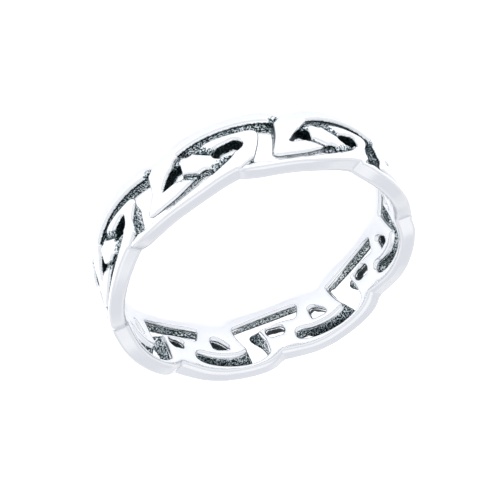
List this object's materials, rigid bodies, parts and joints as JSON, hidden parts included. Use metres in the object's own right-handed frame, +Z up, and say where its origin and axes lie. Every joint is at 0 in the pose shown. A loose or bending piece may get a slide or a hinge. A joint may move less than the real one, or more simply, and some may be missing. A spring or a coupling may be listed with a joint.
{
  "type": "celtic knot ring",
  "caption": "Pierced band ring whose wall is an endless interlaced knot with scalloped upper and lower edges, open through the middle for a finger.",
  "frame": {"origin": "centre of the lower side, on the plane that the ring rests on", "axes": "+Z up along the finger axis, with the ring lying on its side"},
  "size_m": [0.0205, 0.0204, 0.0046],
  "materials": {
    "sterling_silver": "mirror-polished sterling silver strands, with dark oxidised and slightly rough cast recesses between them"
  },
  "bodies": {
    "root": {"knot_ring": "sterling_silver"}
  },
  "joints": []
}
